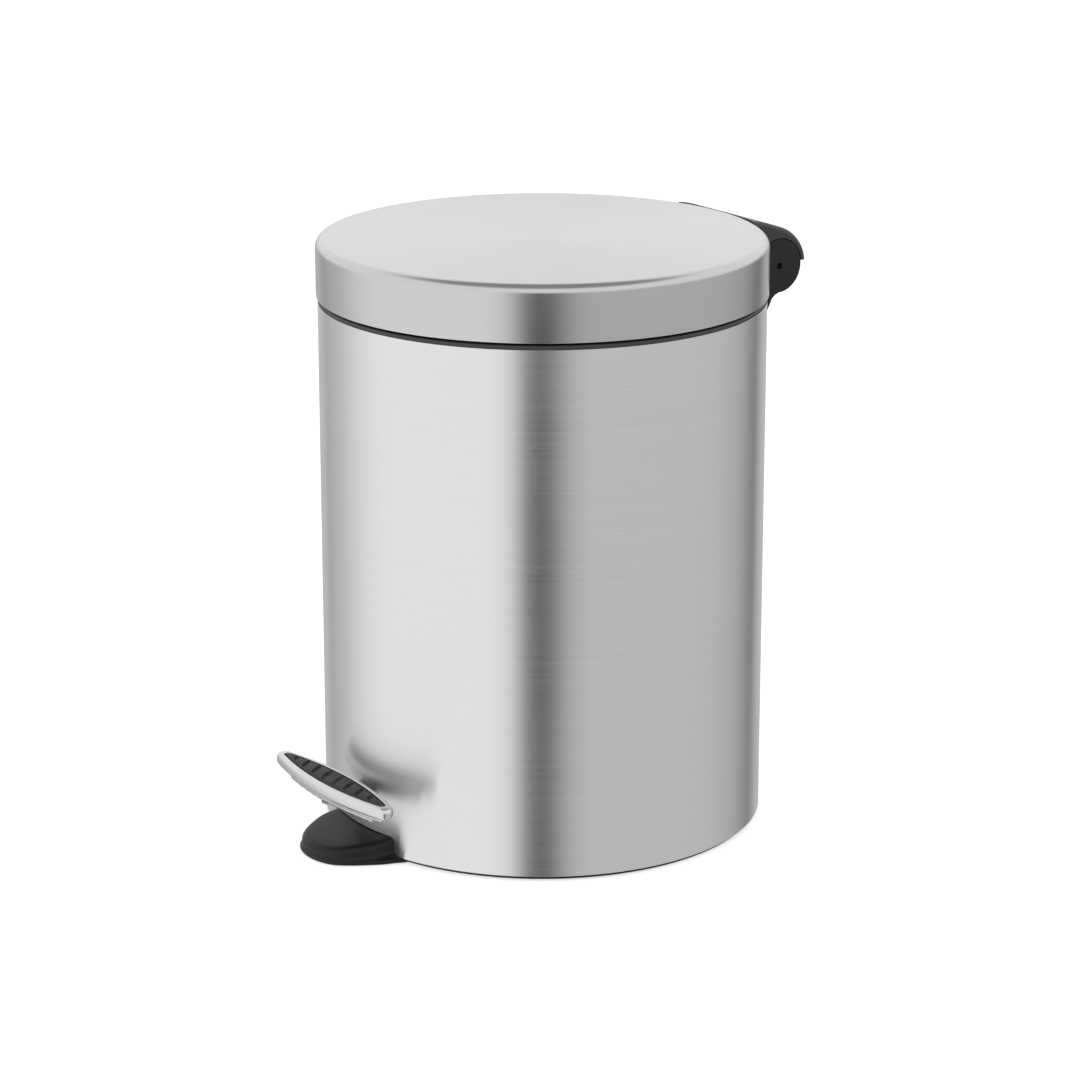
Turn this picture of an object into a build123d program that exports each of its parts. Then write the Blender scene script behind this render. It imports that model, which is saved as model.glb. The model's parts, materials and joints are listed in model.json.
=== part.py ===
from build123d import *
import os
from math import asin, atan2, cos, degrees, hypot, radians, sin

# Pedal bin, about five litres. Millimetres. Front (pedal) is -Y, hinge is +Y, +Z is up.
# The origin is the middle of the round body, on the floor.

# round body
R_BODY = 101.75
T_SHELL = 0.8
R_IN = R_BODY - T_SHELL
Z_STEEL0 = 2.1
Z_STEEL1 = 242.9
FOOT_GAP_HALF = 24.2
FOOT_GAP_RISE = 9.0
SLOT_HALF = 8.2
SLOT_Z0 = 16.2
SLOT_Z1 = 29.0
# screws, in pairs either side of the middle
SCREW_X = (-14.0, 14.0)
SCREW_HEAD_R = 2.8
SCREW_DRIVE_R = 1.1
HOUSING_SCREW_Z = 230.0
COVER_SCREW_Z = 258.0
BRACKET_SCREW_X = (-5.8, 5.8)
BRACKET_SCREW_Y = 87.0
# lid
R_LID = 102.5
R_LID_IN = R_LID - T_SHELL
Z_LID0 = 245.9
Z_TOP = 271.5
LID_EDGE = 4.0
LINER_TOP = 267.5
LINER_T = 1.3
LINER_FLANGE_IN = 89.6
# lid hinge
PIN_Y = 113.0
PIN_Z = 248.7
PIN_R = 1.5
HINGE_HALF = 30.0
KNUCKLE_R = 12.6
LUG_R = 10.5
LUG_HALF = 22.4
COVER_IN_R = 13.0
LID_OPEN = 75.0
# lift pin on the lid, swings evenly below and above the hinge height
LIFT_R = 20.0
LIFT_Y = PIN_Y - LIFT_R * cos(radians(LID_OPEN / 2))
LIFT_Z = PIN_Z - LIFT_R * sin(radians(LID_OPEN / 2))
ROD_RISE = 2 * LIFT_R * sin(radians(LID_OPEN / 2))
LINK_PIN_R = 1.25
# push rod
ROD_R = 2.0
ROD_Y = (LIFT_Y + PIN_Y - LIFT_R) / 2
EYE_HALF = 2.2
EYE_GAP = 0.5
EYE_WALL = 1.0
# pedal lever
AXLE_Y = -50.0
AXLE_Z = 21.0
AXLE_R = 2.5
REAR_ARM = ROD_Y + 0.27 - AXLE_Y
PEDAL_SWING = 2 * degrees(asin(ROD_RISE / 2 / REAR_ARM))
REAR_Y = AXLE_Y + REAR_ARM * cos(radians(PEDAL_SWING / 2))
REAR_Z = AXLE_Z - ROD_RISE / 2
STRIP_T = 2.5
STRIP_HALF = 7.0
STRIP_TOP = 27.9
# pedal, a lens shape in plan with a rounded rim and a rubber pad let into it
PEDAL_MID_Y = -115.05
CUP_LENS = (46.5, 9.45, 4.0)
PAN_LENS = (42.8, 7.2, 2.4)
PAD_LENS = (42.0, 6.4, 1.6)
PAD_TOP_LENS = (41.0, 5.4, 0.8)
PLATE_LENS = (35.5, 5.8, 2.6)
CUP_Z0 = 28.0
CUP_RIM_Z0 = 29.3
CUP_Z1 = 35.3
CUP_T = 1.0
CUP_ROUND = 2.7
PAD_TOP = 35.5
PAD_STEP = 0.8
TREAD_BARS = 9
TREAD_PITCH = 9.0
TREAD_WIDTH = 5.5
TREAD_SLANT = 30.0
RIVET_Y = (-111.5, -118.5)
HEAD_R = 2.8
# base
BASE_BOTTOM = 0.3
R_BASE = 100.0
R_BASE_IN = 92.0
R_BASE_WALL = 100.9
R_BASE_WALL_IN = 99.3
POST_X = 19.0
PAD_RING_R = 80.0
FOOT_ROOT_HALF = 23.9
FLANGE_ROOT_HALF = 29.5
FLOOR_Z0 = 2.0
FLOOR_Z1 = 4.2
BASE_WALL_TOP = 14.0
FOOT_TOP = 10.5
FOOT_LIP = 6.8
FOOT_TIP = -129.1
# rim ring at the top of the body
BEAD_Z1 = 244.9
BEAD_R = 101.5
RIM_IN = 98.4
RIM_BOTTOM = 233.0
LEDGE_IN = 87.0
LEDGE_Z0 = 238.2
LEDGE_Z1 = 240.0
NOTCH_HALF = 14.0
# bucket
BUCKET_TOP_R = 86.0
BUCKET_BOTTOM_R = 78.0
BUCKET_T = 2.0
BUCKET_Z0 = 48.0
FLANGE_R = 89.6
FLANGE_Z0 = 240.3
FLANGE_Z1 = 242.2
BAIL_R = 84.0
BAIL_WIRE = 1.6
BAIL_Z = 247.0
BAIL_IN_X = 82.8
BAIL_OUT_X = 90.4
EAR_X = 87.4
GRIP_R = 4.0
FIT = 0.05
BIG = 400.0


def block(x0, x1, y0, y1, z0, z1):
    centre = Pos((x0 + x1) / 2, (y0 + y1) / 2, (z0 + z1) / 2)
    return centre * Box(x1 - x0, y1 - y0, z1 - z0)


def disc(r, z0, z1, x=0.0, y=0.0):
    return Pos(x, y, (z0 + z1) / 2) * Cylinder(r, z1 - z0)


def ring(r_out, r_in, z0, z1):
    return disc(r_out, z0, z1) - disc(r_in, z0 - 1, z1 + 1)


def bar_x(r, x0, x1, y, z):
    return Pos((x0 + x1) / 2, y, z) * Rot(0, 90, 0) * Cylinder(r, x1 - x0)


def bar_y(r, y0, y1, x, z):
    return Pos(x, (y0 + y1) / 2, z) * Rot(90, 0, 0) * Cylinder(r, y1 - y0)


def side_profile(points, half):
    face = make_face(Polyline(*points, close=True))
    return extrude(Plane.YZ * face, amount=half, both=True)


def screw_y(x, z, y_head, y_end):
    head = bar_y(SCREW_HEAD_R, y_head - 1.6, y_head, x, z)
    recess = bar_y(SCREW_DRIVE_R, y_head - 1.7, y_head - 0.7, x, z)
    return head - recess + bar_y(PIN_R, y_head, y_end, x, z)


# ---------------------------------------------------------------- body
def body_shell():
    shell = ring(R_BODY, R_IN, Z_STEEL0, Z_STEEL1)
    foot_gap = Plane.XZ * RectangleRounded(2 * FOOT_GAP_HALF, 2 * FOOT_GAP_RISE, 2.0)
    shell -= Pos(0, -R_BODY, Z_STEEL0) * extrude(foot_gap, amount=15, both=True)
    arm_slot = Plane.XZ * RectangleRounded(2 * SLOT_HALF, SLOT_Z1 - SLOT_Z0, 1.5)
    shell -= Pos(0, -R_BODY, (SLOT_Z0 + SLOT_Z1) / 2) * extrude(arm_slot, amount=8, both=True)
    for x in SCREW_X:
        shell -= bar_y(PIN_R, 95, 105, x, HOUSING_SCREW_Z)
    return shell


def foot_outline(offset, root):
    side = [
        (root, -90),
        (root, -101.5),
        (26.8 - offset, -106),
        (24.2 - offset, -111),
        (19.4 - offset, -119),
        (14.2 - offset, -125),
    ]
    tip = FOOT_TIP + offset
    curve = Spline(*side[1:], (7.2, tip + 1.0), (0, tip))
    right = Line(side[0], side[1]) + curve
    left = mirror(right, about=Plane.YZ)
    back = Line(side[0], (-root, -90))
    return make_face(right + left + back)


def front_foot():
    upper = extrude(foot_outline(0.6, FOOT_ROOT_HALF), amount=14)
    slope = degrees(atan2(FOOT_TOP - FOOT_LIP, -FOOT_TIP - R_BODY))
    knife = Pos(0, -R_BODY, FOOT_TOP) * Rot(slope, 0, 0) * Pos(0, 0, 20) * Box(80, 120, 40)
    upper -= knife
    top_face = upper.faces().sort_by(Axis.Z)[-1]
    upper = fillet(top_face.edges(), 2.4)
    flange = extrude(foot_outline(0.0, FLANGE_ROOT_HALF), amount=Z_STEEL0)
    foot = upper + flange
    foot -= disc(14.0, -1, 4.2, 0, -109)
    foot -= block(-BIG, BIG, -BIG, BIG, -5, BASE_BOTTOM)
    foot -= disc(R_BASE - 6, -5, 30)
    return foot


def base_ring():
    base = ring(R_BASE, R_BASE_IN, BASE_BOTTOM, FLOOR_Z1)
    base += ring(R_BASE_WALL, R_BASE_WALL_IN, Z_STEEL0, BASE_WALL_TOP)
    base += disc(99.6, FLOOR_Z0, FLOOR_Z1)
    for k in range(8):
        rib = block(20, 93, -1.0, 1.0, 0.8, FLOOR_Z0 + 0.2)
        base += Rot(0, 0, 22.5 + 45 * k) * rib
    for side in (-1, 1):
        post = block(-3, 3, -7, 7, FLOOR_Z1 - 0.2, AXLE_Z)
        post += bar_x(7, -3, 3, 0, AXLE_Z)
        post += block(-1.2, 1.2, -22, 22, FLOOR_Z1 - 0.2, 12)
        post -= bar_x(AXLE_R, -5, 5, 0, AXLE_Z)
        base += Pos(side * POST_X, AXLE_Y, 0) * post
    base += front_foot()
    return base


def rubber_feet():
    pads = []
    for k in range(4):
        pad = Cylinder(7, FLOOR_Z0)
        pad = chamfer(pad.faces().sort_by(Axis.Z)[0].edges(), 0.5)
        pads.append(Rot(0, 0, 45 + 90 * k) * Pos(PAD_RING_R, 0, FLOOR_Z0 / 2) * pad)
    return Compound(pads)


def top_rim():
    bead = ring(BEAD_R, RIM_IN, Z_STEEL1, BEAD_Z1)
    bead = fillet(bead.faces().sort_by(Axis.Z)[-1].edges().sort_by(SortBy.LENGTH)[-1], 0.8)
    rim = bead + ring(R_BASE_WALL, RIM_IN, RIM_BOTTOM, Z_STEEL1)
    rim += ring(RIM_IN + 0.2, LEDGE_IN, LEDGE_Z0, LEDGE_Z1)
    notch = block(-NOTCH_HALF, NOTCH_HALF, 80, 110, 230, Z_STEEL1)
    notch += block(-NOTCH_HALF, NOTCH_HALF, 80, 110, 230, 250) & disc(100.4, 230, 250)
    return rim - notch


# ---------------------------------------------------------------- hinge
def hinge_housing():
    tail = [
        (92, 216), (101.9, 216), (103.0, 221.5), (104.6, 225.6), (106.4, 228.6), (107.7, 230.9),
        (109.0, 233.7), (110.8, 235.2), (113.5, 236.3), (113.5, 244.5), (92, 244.5),
    ]
    housing = side_profile(tail, HINGE_HALF)
    housing += bar_x(KNUCKLE_R, -HINGE_HALF, HINGE_HALF, PIN_Y, PIN_Z)
    half = LUG_HALF + 0.4
    housing -= bar_x(LUG_R + 0.5, -half, half, PIN_Y, PIN_Z)
    housing -= block(-half, half, 90, 140, PIN_Z - 1.1, 280)
    housing -= block(-half, half, 90, 106, 244.4, 280)
    housing -= disc(R_BODY, 200, 300)
    housing -= bar_x(PIN_R, -BIG, BIG, PIN_Y, PIN_Z)
    for side in (-1, 1):
        housing -= bar_x(PIN_R + 0.1, side * 28.5 - 1.5, side * 28.5 + 1.51, PIN_Y, PIN_Z)
        housing -= bar_y(PIN_R, 95, 106, side * SCREW_X[1], HOUSING_SCREW_Z)
    return housing


def hinge_cover():
    top = Spline(
        (94.0, 271.0), (102.7, 270.5), (111.7, 267.7), (118.2, 265.2), (122.8, 262.0),
        (125.7, 258.8), (127.9, 254.9), (129.1, 249.9),
    )
    outline = top + Line((129.1, 249.9), (94, 249.9)) + Line((94, 249.9), (94, 271.0))
    cover = extrude(Plane.YZ * make_face(outline), amount=HINGE_HALF, both=True)
    for side in (-1, 1):
        edges = cover.edges().filter_by_position(Axis.X, side * HINGE_HALF - 0.1, side * HINGE_HALF + 0.1)
        curved = edges.sort_by(SortBy.LENGTH)[-1]
        cover = fillet(curved, 2.4)
    cover -= bar_x(COVER_IN_R, -BIG, BIG, PIN_Y, PIN_Z)
    cover += block(-LUG_HALF, LUG_HALF, 94, PIN_Y + 1, 249.9, 262.2)
    cover += bar_x(LUG_R, -LUG_HALF, LUG_HALF, PIN_Y, PIN_Z)
    cover -= disc(R_LID, 200, 300)
    cover -= bar_x(PIN_R + FIT, -BIG, BIG, PIN_Y, PIN_Z)
    for x in SCREW_X:
        cover -= bar_y(PIN_R, 95, 107, x, COVER_SCREW_Z)
    return cover


def hinge_pin():
    return bar_x(PIN_R, -27, 27, PIN_Y, PIN_Z)


def housing_screws():
    return Compound([screw_y(x, HOUSING_SCREW_Z, 99.5, 106) for x in SCREW_X])


def cover_screws():
    return Compound([screw_y(x, COVER_SCREW_Z, 98.4, 107) for x in SCREW_X])


# ---------------------------------------------------------------- lid
def lid_shell():
    outer = disc(R_LID, Z_LID0, Z_TOP)
    outer = fillet(outer.faces().sort_by(Axis.Z)[-1].edges(), LID_EDGE)
    inner = disc(R_LID_IN, Z_LID0 - 1, Z_TOP - T_SHELL)
    inner = fillet(inner.faces().sort_by(Axis.Z)[-1].edges(), LID_EDGE - T_SHELL)
    lid = outer - inner
    for x in SCREW_X:
        lid -= bar_y(PIN_R, 95, 107, x, COVER_SCREW_Z)
    return lid


def lid_liner():
    liner = ring(R_LID_IN, 99.9, 247.2, LINER_TOP)
    liner += ring(R_LID_IN, LINER_FLANGE_IN, LINER_TOP - LINER_T, LINER_TOP)
    liner += block(-12, 12, 79, 92, LINER_TOP - LINER_T, LINER_TOP)
    gusset = [(90.5, 266.3), (100.4, 266.3), (100.4, 255.0)]
    for k in range(1, 22):
        liner += Rot(0, 0, 15 * k + 7.5) * side_profile(gusset, 0.6)
    for x in SCREW_X:
        liner -= bar_y(PIN_R, 95, 107, x, COVER_SCREW_Z)
    for x in BRACKET_SCREW_X:
        liner -= disc(PIN_R, 260, 270, x, BRACKET_SCREW_Y)
    return liner


def lift_bracket():
    bracket = block(-9, 9, 82, 99.0, 264.2, 266.2)
    for side in (-1, 1):
        leg = block(-1, 1, LIFT_Y - 2.4, LIFT_Y + 2.4, LIFT_Z, 265)
        leg += bar_x(2.4, -1, 1, LIFT_Y, LIFT_Z)
        bracket += Pos(4.2 * side, 0, 0) * leg
    bracket -= bar_x(LINK_PIN_R, -BIG, BIG, LIFT_Y, LIFT_Z)
    for x in BRACKET_SCREW_X:
        bracket -= disc(PIN_R, 260, 270, x, BRACKET_SCREW_Y)
    return bracket


def lift_pin():
    return bar_x(LINK_PIN_R, -6.4, 6.4, LIFT_Y, LIFT_Z)


def bracket_screws():
    screws = []
    for x in BRACKET_SCREW_X:
        head = disc(SCREW_HEAD_R, 262.6, 264.2, x, BRACKET_SCREW_Y)
        head -= disc(SCREW_DRIVE_R, 262, 263.6, x, BRACKET_SCREW_Y)
        screws.append(head + disc(PIN_R, 264.2, LINER_TOP, x, BRACKET_SCREW_Y))
    return Compound(screws)


def lid_bumpers():
    pads = []
    for angle in (0, 120, 240):
        pad = block(-5, 5, -101.4, -100.2, 245.4, 247.2)
        pads.append(Rot(0, 0, angle) * pad)
    return Compound(pads)


# ---------------------------------------------------------------- pedal
def lens(size, z0, z1):
    end, half, tip_r = size
    tip, side = end - tip_r, half - tip_r
    front = ThreePointArc((-tip, 0), (0, -side), (tip, 0))
    back = ThreePointArc((tip, 0), (0, side), (-tip, 0))
    face = offset(make_face(front + back), amount=tip_r)
    return Pos(0, PEDAL_MID_Y, z0) * extrude(face, amount=z1 - z0)


def pedal_cup():
    cup = lens(CUP_LENS, CUP_RIM_Z0, CUP_Z1)
    cup = fillet(cup.faces().sort_by(Axis.Z)[0].edges(), CUP_ROUND)
    cup = fillet(cup.faces().sort_by(Axis.Z)[-1].edges(), CUP_ROUND)
    cup += lens(PAN_LENS, CUP_Z0, CUP_RIM_Z0 + CUP_T)
    cup -= lens(PAD_LENS, CUP_Z0 + CUP_T, CUP_Z1 + 1)
    for y in RIVET_Y:
        cup -= disc(PIN_R, 20, 32, 0, y)
    return cup


def pedal_pad():
    pad = lens(PAD_LENS, CUP_Z0 + CUP_T, CUP_Z1 - PAD_STEP)
    pad += lens(PAD_TOP_LENS, CUP_Z1 - PAD_STEP, PAD_TOP)
    bars = []
    for k in range(TREAD_BARS):
        x = TREAD_PITCH * (k - (TREAD_BARS - 1) / 2)
        bars.append(Pos(x, PEDAL_MID_Y, 0) * Rot(0, 0, TREAD_SLANT) * Box(TREAD_WIDTH, 40, 6))
    pad += lens(PAD_TOP_LENS, PAD_TOP - 0.1, PAD_TOP + PAD_STEP) & (Pos(0, 0, PAD_TOP) * Compound(bars))
    for y in RIVET_Y:
        pad -= disc(HEAD_R + 0.2, 20, CUP_Z0 + CUP_T + 0.9, 0, y)
    return pad


def pedal_rivets():
    rivets = []
    for y in RIVET_Y:
        low = disc(HEAD_R, STRIP_TOP - STRIP_T - 0.8, STRIP_TOP - STRIP_T, 0, y)
        shank = disc(PIN_R, STRIP_TOP - STRIP_T, CUP_Z0 + CUP_T, 0, y)
        high = disc(HEAD_R, CUP_Z0 + CUP_T, CUP_Z0 + CUP_T + 0.8, 0, y)
        rivets.append(low + shank + high)
    return Compound(rivets)


def pedal_lever():
    half = STRIP_T / 2
    z = STRIP_TOP - half
    reach = hypot(REAR_Y - AXLE_Y, REAR_Z - AXLE_Z)
    tilt = degrees(atan2(REAR_Z - AXLE_Z, REAR_Y - AXLE_Y))
    front = [
        (-116, z + half), (-116, z - half), (-66.5, z - half), (-54.5, AXLE_Z - half),
        (-48.0, AXLE_Z - half), (-48.0, AXLE_Z + half), (-53.5, AXLE_Z + half), (-65.5, z + half),
    ]
    lever = side_profile(front, STRIP_HALF)
    plate = lens(PLATE_LENS, STRIP_TOP - STRIP_T, STRIP_TOP)
    lever += fillet(plate.faces().sort_by(Axis.Z)[0].edges(), 1.0)
    rear = block(-STRIP_HALF, STRIP_HALF, 0, reach, -half, half)
    rear += bar_x(3.0, -STRIP_HALF, STRIP_HALF, reach, 0)
    rear -= block(-3.4, 3.4, reach - 6.5, reach + 10, -9, 9)
    lever += Pos(0, AXLE_Y, AXLE_Z) * Rot(tilt, 0, 0) * rear
    lever += bar_x(5.5, -15.5, 15.5, AXLE_Y, AXLE_Z)
    lever -= bar_x(AXLE_R + FIT, -BIG, BIG, AXLE_Y, AXLE_Z)
    lever -= bar_x(LINK_PIN_R, -BIG, BIG, REAR_Y, REAR_Z)
    for y in RIVET_Y:
        lever -= disc(PIN_R, 20, 32, 0, y)
    return lever


def lever_axle():
    return bar_x(AXLE_R, -25, 25, AXLE_Y, AXLE_Z)


def axle_clips():
    clips = []
    for side in (-1, 1):
        clip = bar_x(5.0, -0.6, 0.6, AXLE_Y, AXLE_Z) - bar_x(AXLE_R, -2, 2, AXLE_Y, AXLE_Z)
        clips.append(Pos(22.7 * side, 0, 0) * clip)
    return Compound(clips)


def rear_pin():
    return bar_x(LINK_PIN_R, -STRIP_HALF - 0.6, STRIP_HALF + 0.6, REAR_Y, REAR_Z)


# ---------------------------------------------------------------- push rod
def slot_eye(y0, y1, z, wall):
    slot_r = LINK_PIN_R + EYE_GAP
    r = slot_r + wall
    eye = block(-EYE_HALF, EYE_HALF, y0, y1, z - r, z + r)
    eye += bar_x(r, -EYE_HALF, EYE_HALF, y0, z) + bar_x(r, -EYE_HALF, EYE_HALF, y1, z)
    hole = block(-9, 9, y0, y1, z - slot_r, z + slot_r)
    hole += bar_x(slot_r, -9, 9, y0, z) + bar_x(slot_r, -9, 9, y1, z)
    return eye - hole


def push_rod():
    return disc(ROD_R, REAR_Z + 4.2, LIFT_Z - 4.2, 0, ROD_Y)


def rod_top_eye():
    eye = slot_eye(PIN_Y - LIFT_R, LIFT_Y, LIFT_Z, EYE_WALL)
    stem = disc(ROD_R + 1.0, LIFT_Z - 16, LIFT_Z - 2.6, 0, ROD_Y) & block(-3, 3, 80, 110, 200, 250)
    stem -= disc(ROD_R, 0, LIFT_Z - 4.2, 0, ROD_Y)
    return eye + stem


def rod_bottom_eye():
    eye = slot_eye(REAR_Y, AXLE_Y + REAR_ARM, REAR_Z, EYE_WALL + 0.4)
    stem = disc(ROD_R + 0.9, REAR_Z + 2.9, REAR_Z + 16, 0, ROD_Y)
    stem -= disc(ROD_R, REAR_Z + 4.2, 300, 0, ROD_Y)
    return eye + stem


# ---------------------------------------------------------------- bucket
def inner_bucket():
    rise = FLANGE_Z0 - BUCKET_Z0
    outer = Pos(0, 0, BUCKET_Z0 + rise / 2) * Cone(BUCKET_BOTTOM_R, BUCKET_TOP_R, rise)
    outer = fillet(outer.faces().sort_by(Axis.Z)[0].edges(), 6)
    flange = disc(FLANGE_R, FLANGE_Z0, FLANGE_Z1)
    hollow = Pos(0, 0, BUCKET_Z0 + BUCKET_T + rise / 2) * Cone(
        BUCKET_BOTTOM_R - BUCKET_T, BUCKET_TOP_R - BUCKET_T, rise
    )
    hollow = fillet(hollow.faces().sort_by(Axis.Z)[0].edges(), 4)
    bucket = outer + flange - hollow
    for side in (-1, 1):
        ear = block(-1.2, 1.2, -5, 5, FLANGE_Z1 - 0.4, BAIL_Z) + bar_x(5, -1.2, 1.2, 0, BAIL_Z)
        ear -= bar_x(BAIL_WIRE + FIT, -3, 3, 0, BAIL_Z)
        bucket += Pos(EAR_X * side, 0, 0) * ear
    return bucket


def bail_wire():
    loop = Pos(0, 0, BAIL_Z) * Torus(BAIL_R, BAIL_WIRE)
    loop -= block(-BIG, BIG, 0, BIG, 200, 300)
    loop += bar_x(BAIL_WIRE, BAIL_IN_X, BAIL_OUT_X, 0, BAIL_Z)
    loop += bar_x(BAIL_WIRE, -BAIL_OUT_X, -BAIL_IN_X, 0, BAIL_Z)
    return loop


def bail_grip():
    sleeve = Pos(0, 0, BAIL_Z) * Torus(BAIL_R, GRIP_R)
    sleeve -= Pos(0, 0, BAIL_Z) * Torus(BAIL_R, BAIL_WIRE)
    wedge = make_face(Polyline((0, 0), (-50, -120), (50, -120), close=True))
    return sleeve & Pos(0, 0, BAIL_Z) * extrude(wedge, amount=10, both=True)


PIECES = (
    body_shell, base_ring, rubber_feet, top_rim, hinge_housing, housing_screws, hinge_pin, lever_axle,
    axle_clips, lid_shell, lid_liner, hinge_cover, cover_screws, lift_bracket, lift_pin, bracket_screws,
    lid_bumpers, pedal_cup, pedal_pad, pedal_rivets, pedal_lever, rear_pin, push_rod, rod_top_eye,
    rod_bottom_eye, inner_bucket, bail_wire, bail_grip,
)


def main():
    os.makedirs("parts", exist_ok=True)
    for make in PIECES:
        export_step(make(), "parts/" + make.__name__ + ".step")
    print("lid opens", LID_OPEN, "rod rises", round(ROD_RISE, 3), "pedal swings", round(PEDAL_SWING, 3))
    print("rod y", round(ROD_Y, 3), "lift pin", round(LIFT_Y, 3), round(LIFT_Z, 3))
    print("rear pin", round(REAR_Y, 3), round(REAR_Z, 3), "arm", round(REAR_ARM, 3))


main()
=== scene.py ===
# %% [markdown]
# # A pedal bin
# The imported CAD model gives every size, place and joint. This file gives the looks: clean smooth
# meshes for the pieces that people see, and a finish for every piece, hidden ones included.

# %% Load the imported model
import json
from math import asin, atan2, cos, pi, radians, sin, sqrt, tan

import bmesh
import bpy
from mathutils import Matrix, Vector


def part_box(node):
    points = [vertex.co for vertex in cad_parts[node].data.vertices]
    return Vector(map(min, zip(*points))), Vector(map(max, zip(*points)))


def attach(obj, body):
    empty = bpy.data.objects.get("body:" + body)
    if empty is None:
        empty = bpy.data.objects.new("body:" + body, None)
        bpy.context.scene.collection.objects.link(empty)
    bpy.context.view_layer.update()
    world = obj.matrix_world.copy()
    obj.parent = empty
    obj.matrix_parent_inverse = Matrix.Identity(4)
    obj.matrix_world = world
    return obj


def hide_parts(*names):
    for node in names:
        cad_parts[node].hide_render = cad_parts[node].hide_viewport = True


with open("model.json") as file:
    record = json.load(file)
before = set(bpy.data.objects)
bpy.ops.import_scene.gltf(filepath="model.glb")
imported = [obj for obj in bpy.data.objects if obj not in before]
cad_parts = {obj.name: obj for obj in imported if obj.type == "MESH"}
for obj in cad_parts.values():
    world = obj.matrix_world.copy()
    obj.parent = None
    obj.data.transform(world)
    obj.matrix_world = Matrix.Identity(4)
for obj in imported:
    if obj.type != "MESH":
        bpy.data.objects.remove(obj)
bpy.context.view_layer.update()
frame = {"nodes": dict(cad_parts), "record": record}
nodes = frame["nodes"]
MM = 0.001

# %% [markdown]
# The camera stands well back with a long lens, as a catalogue camera does, so the body's sides
# stay nearly upright. Its aim is the middle of the body. A small shift keeps the body's axis just
# off the middle of the frame, which is cheaper than turning the camera and bending the view.

# %% Camera
AZIMUTH = radians(55)
TILT = radians(16.68)
DISTANCE = 1.6466
AIM_HEIGHT = 0.1282
LENS = 118.75
SIDE_SHIFT = -0.00224


def place_camera():
    data = bpy.data.cameras.new("camera")
    data.sensor_width = 36
    data.lens = LENS
    data.shift_x = SIDE_SHIFT
    data.clip_end = 60
    camera = bpy.data.objects.new("camera", data)
    reach = DISTANCE * cos(TILT)
    camera.location = (reach * sin(AZIMUTH), -reach * cos(AZIMUTH), AIM_HEIGHT + DISTANCE * sin(TILT))
    camera.rotation_euler = (pi / 2 - TILT, 0, AZIMUTH)
    bpy.context.scene.collection.objects.link(camera)
    bpy.context.scene.camera = camera
    return camera


camera = place_camera()
print("camera stands", round(camera.location.length, 2), "m away")

# %% [markdown]
# Satin steel has almost no colour of its own: it shows the room. A light tent with one narrow gap
# at the front gives the soft upright bands that a steel cylinder is known for. The tent is the
# world's background here, bright all round, with its brightness written against the compass, so
# there are no lamps to place and no hard shadows.

# %% Light tent: its brightness
TENT = [
    (-180, 0.43), (-160, 0.42), (-151, 0.42), (-145, 0.31), (-139, 0.41), (-125, 0.48), (-117, 0.58),
    (-108, 0.68), (-98, 0.76), (-88, 0.80), (-30, 0.80), (-20, 0.74), (-14, 0.52), (-8, 0.17),
    (-2, 0.055), (3, 0.095), (9, 0.24), (15, 0.38), (24, 0.475), (88, 0.475), (104, 0.45),
    (122, 0.37), (133, 0.24), (141, 0.15), (149, 0.36), (160, 0.42),
]
TENT_GAIN = 1.36
CEILING = 1.05
CEILING_FADE = (-0.12, 0.18)
OVERHEAD = 0.35
OVERHEAD_FADE = (0.70, 0.90)


def compass(tree, direction):
    """How far round the tent a direction points, from 0 to 1, with the camera's side at a half."""
    flip = tree.nodes.new("ShaderNodeMath")
    flip.operation = "MULTIPLY"
    flip.inputs[1].default_value = -1
    tree.links.new(direction["Y"], flip.inputs[0])
    angle = tree.nodes.new("ShaderNodeMath")
    angle.operation = "ARCTAN2"
    tree.links.new(direction["X"], angle.inputs[0])
    tree.links.new(flip.outputs["Value"], angle.inputs[1])
    span = tree.nodes.new("ShaderNodeMapRange")
    span.inputs["From Min"].default_value = -pi
    span.inputs["From Max"].default_value = pi
    tree.links.new(angle.outputs["Value"], span.inputs["Value"])
    return span.outputs["Result"]


def bands(tree, turn):
    band = tree.nodes.new("ShaderNodeValToRGB")
    for number, (angle, value) in enumerate(TENT):
        place = (angle + 180) / 360
        if number < 2:
            stop = band.color_ramp.elements[number]
            stop.position = place
        else:
            stop = band.color_ramp.elements.new(place)
        shade = value * TENT_GAIN
        stop.color = (shade, shade, shade, 1)
    tree.links.new(turn, band.inputs["Fac"])
    return band.outputs["Color"]


def fade(tree, height, limits, low=0.0, high=1.0):
    step = tree.nodes.new("ShaderNodeMapRange")
    step.interpolation_type = "SMOOTHSTEP"
    step.inputs["From Min"].default_value = limits[0]
    step.inputs["From Max"].default_value = limits[1]
    step.inputs["To Min"].default_value = low
    step.inputs["To Max"].default_value = high
    tree.links.new(height, step.inputs["Value"])
    return step.outputs["Result"]


print("tent has", len(TENT), "stops")

# %% [markdown]
# The walls' bands fade upwards into an even ceiling, and straight overhead the ceiling is dimmer,
# which draws the fine dark line where the lid's top rolls over. Seen directly, the tent is plain
# white: only the surfaces see the bands.

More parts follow.
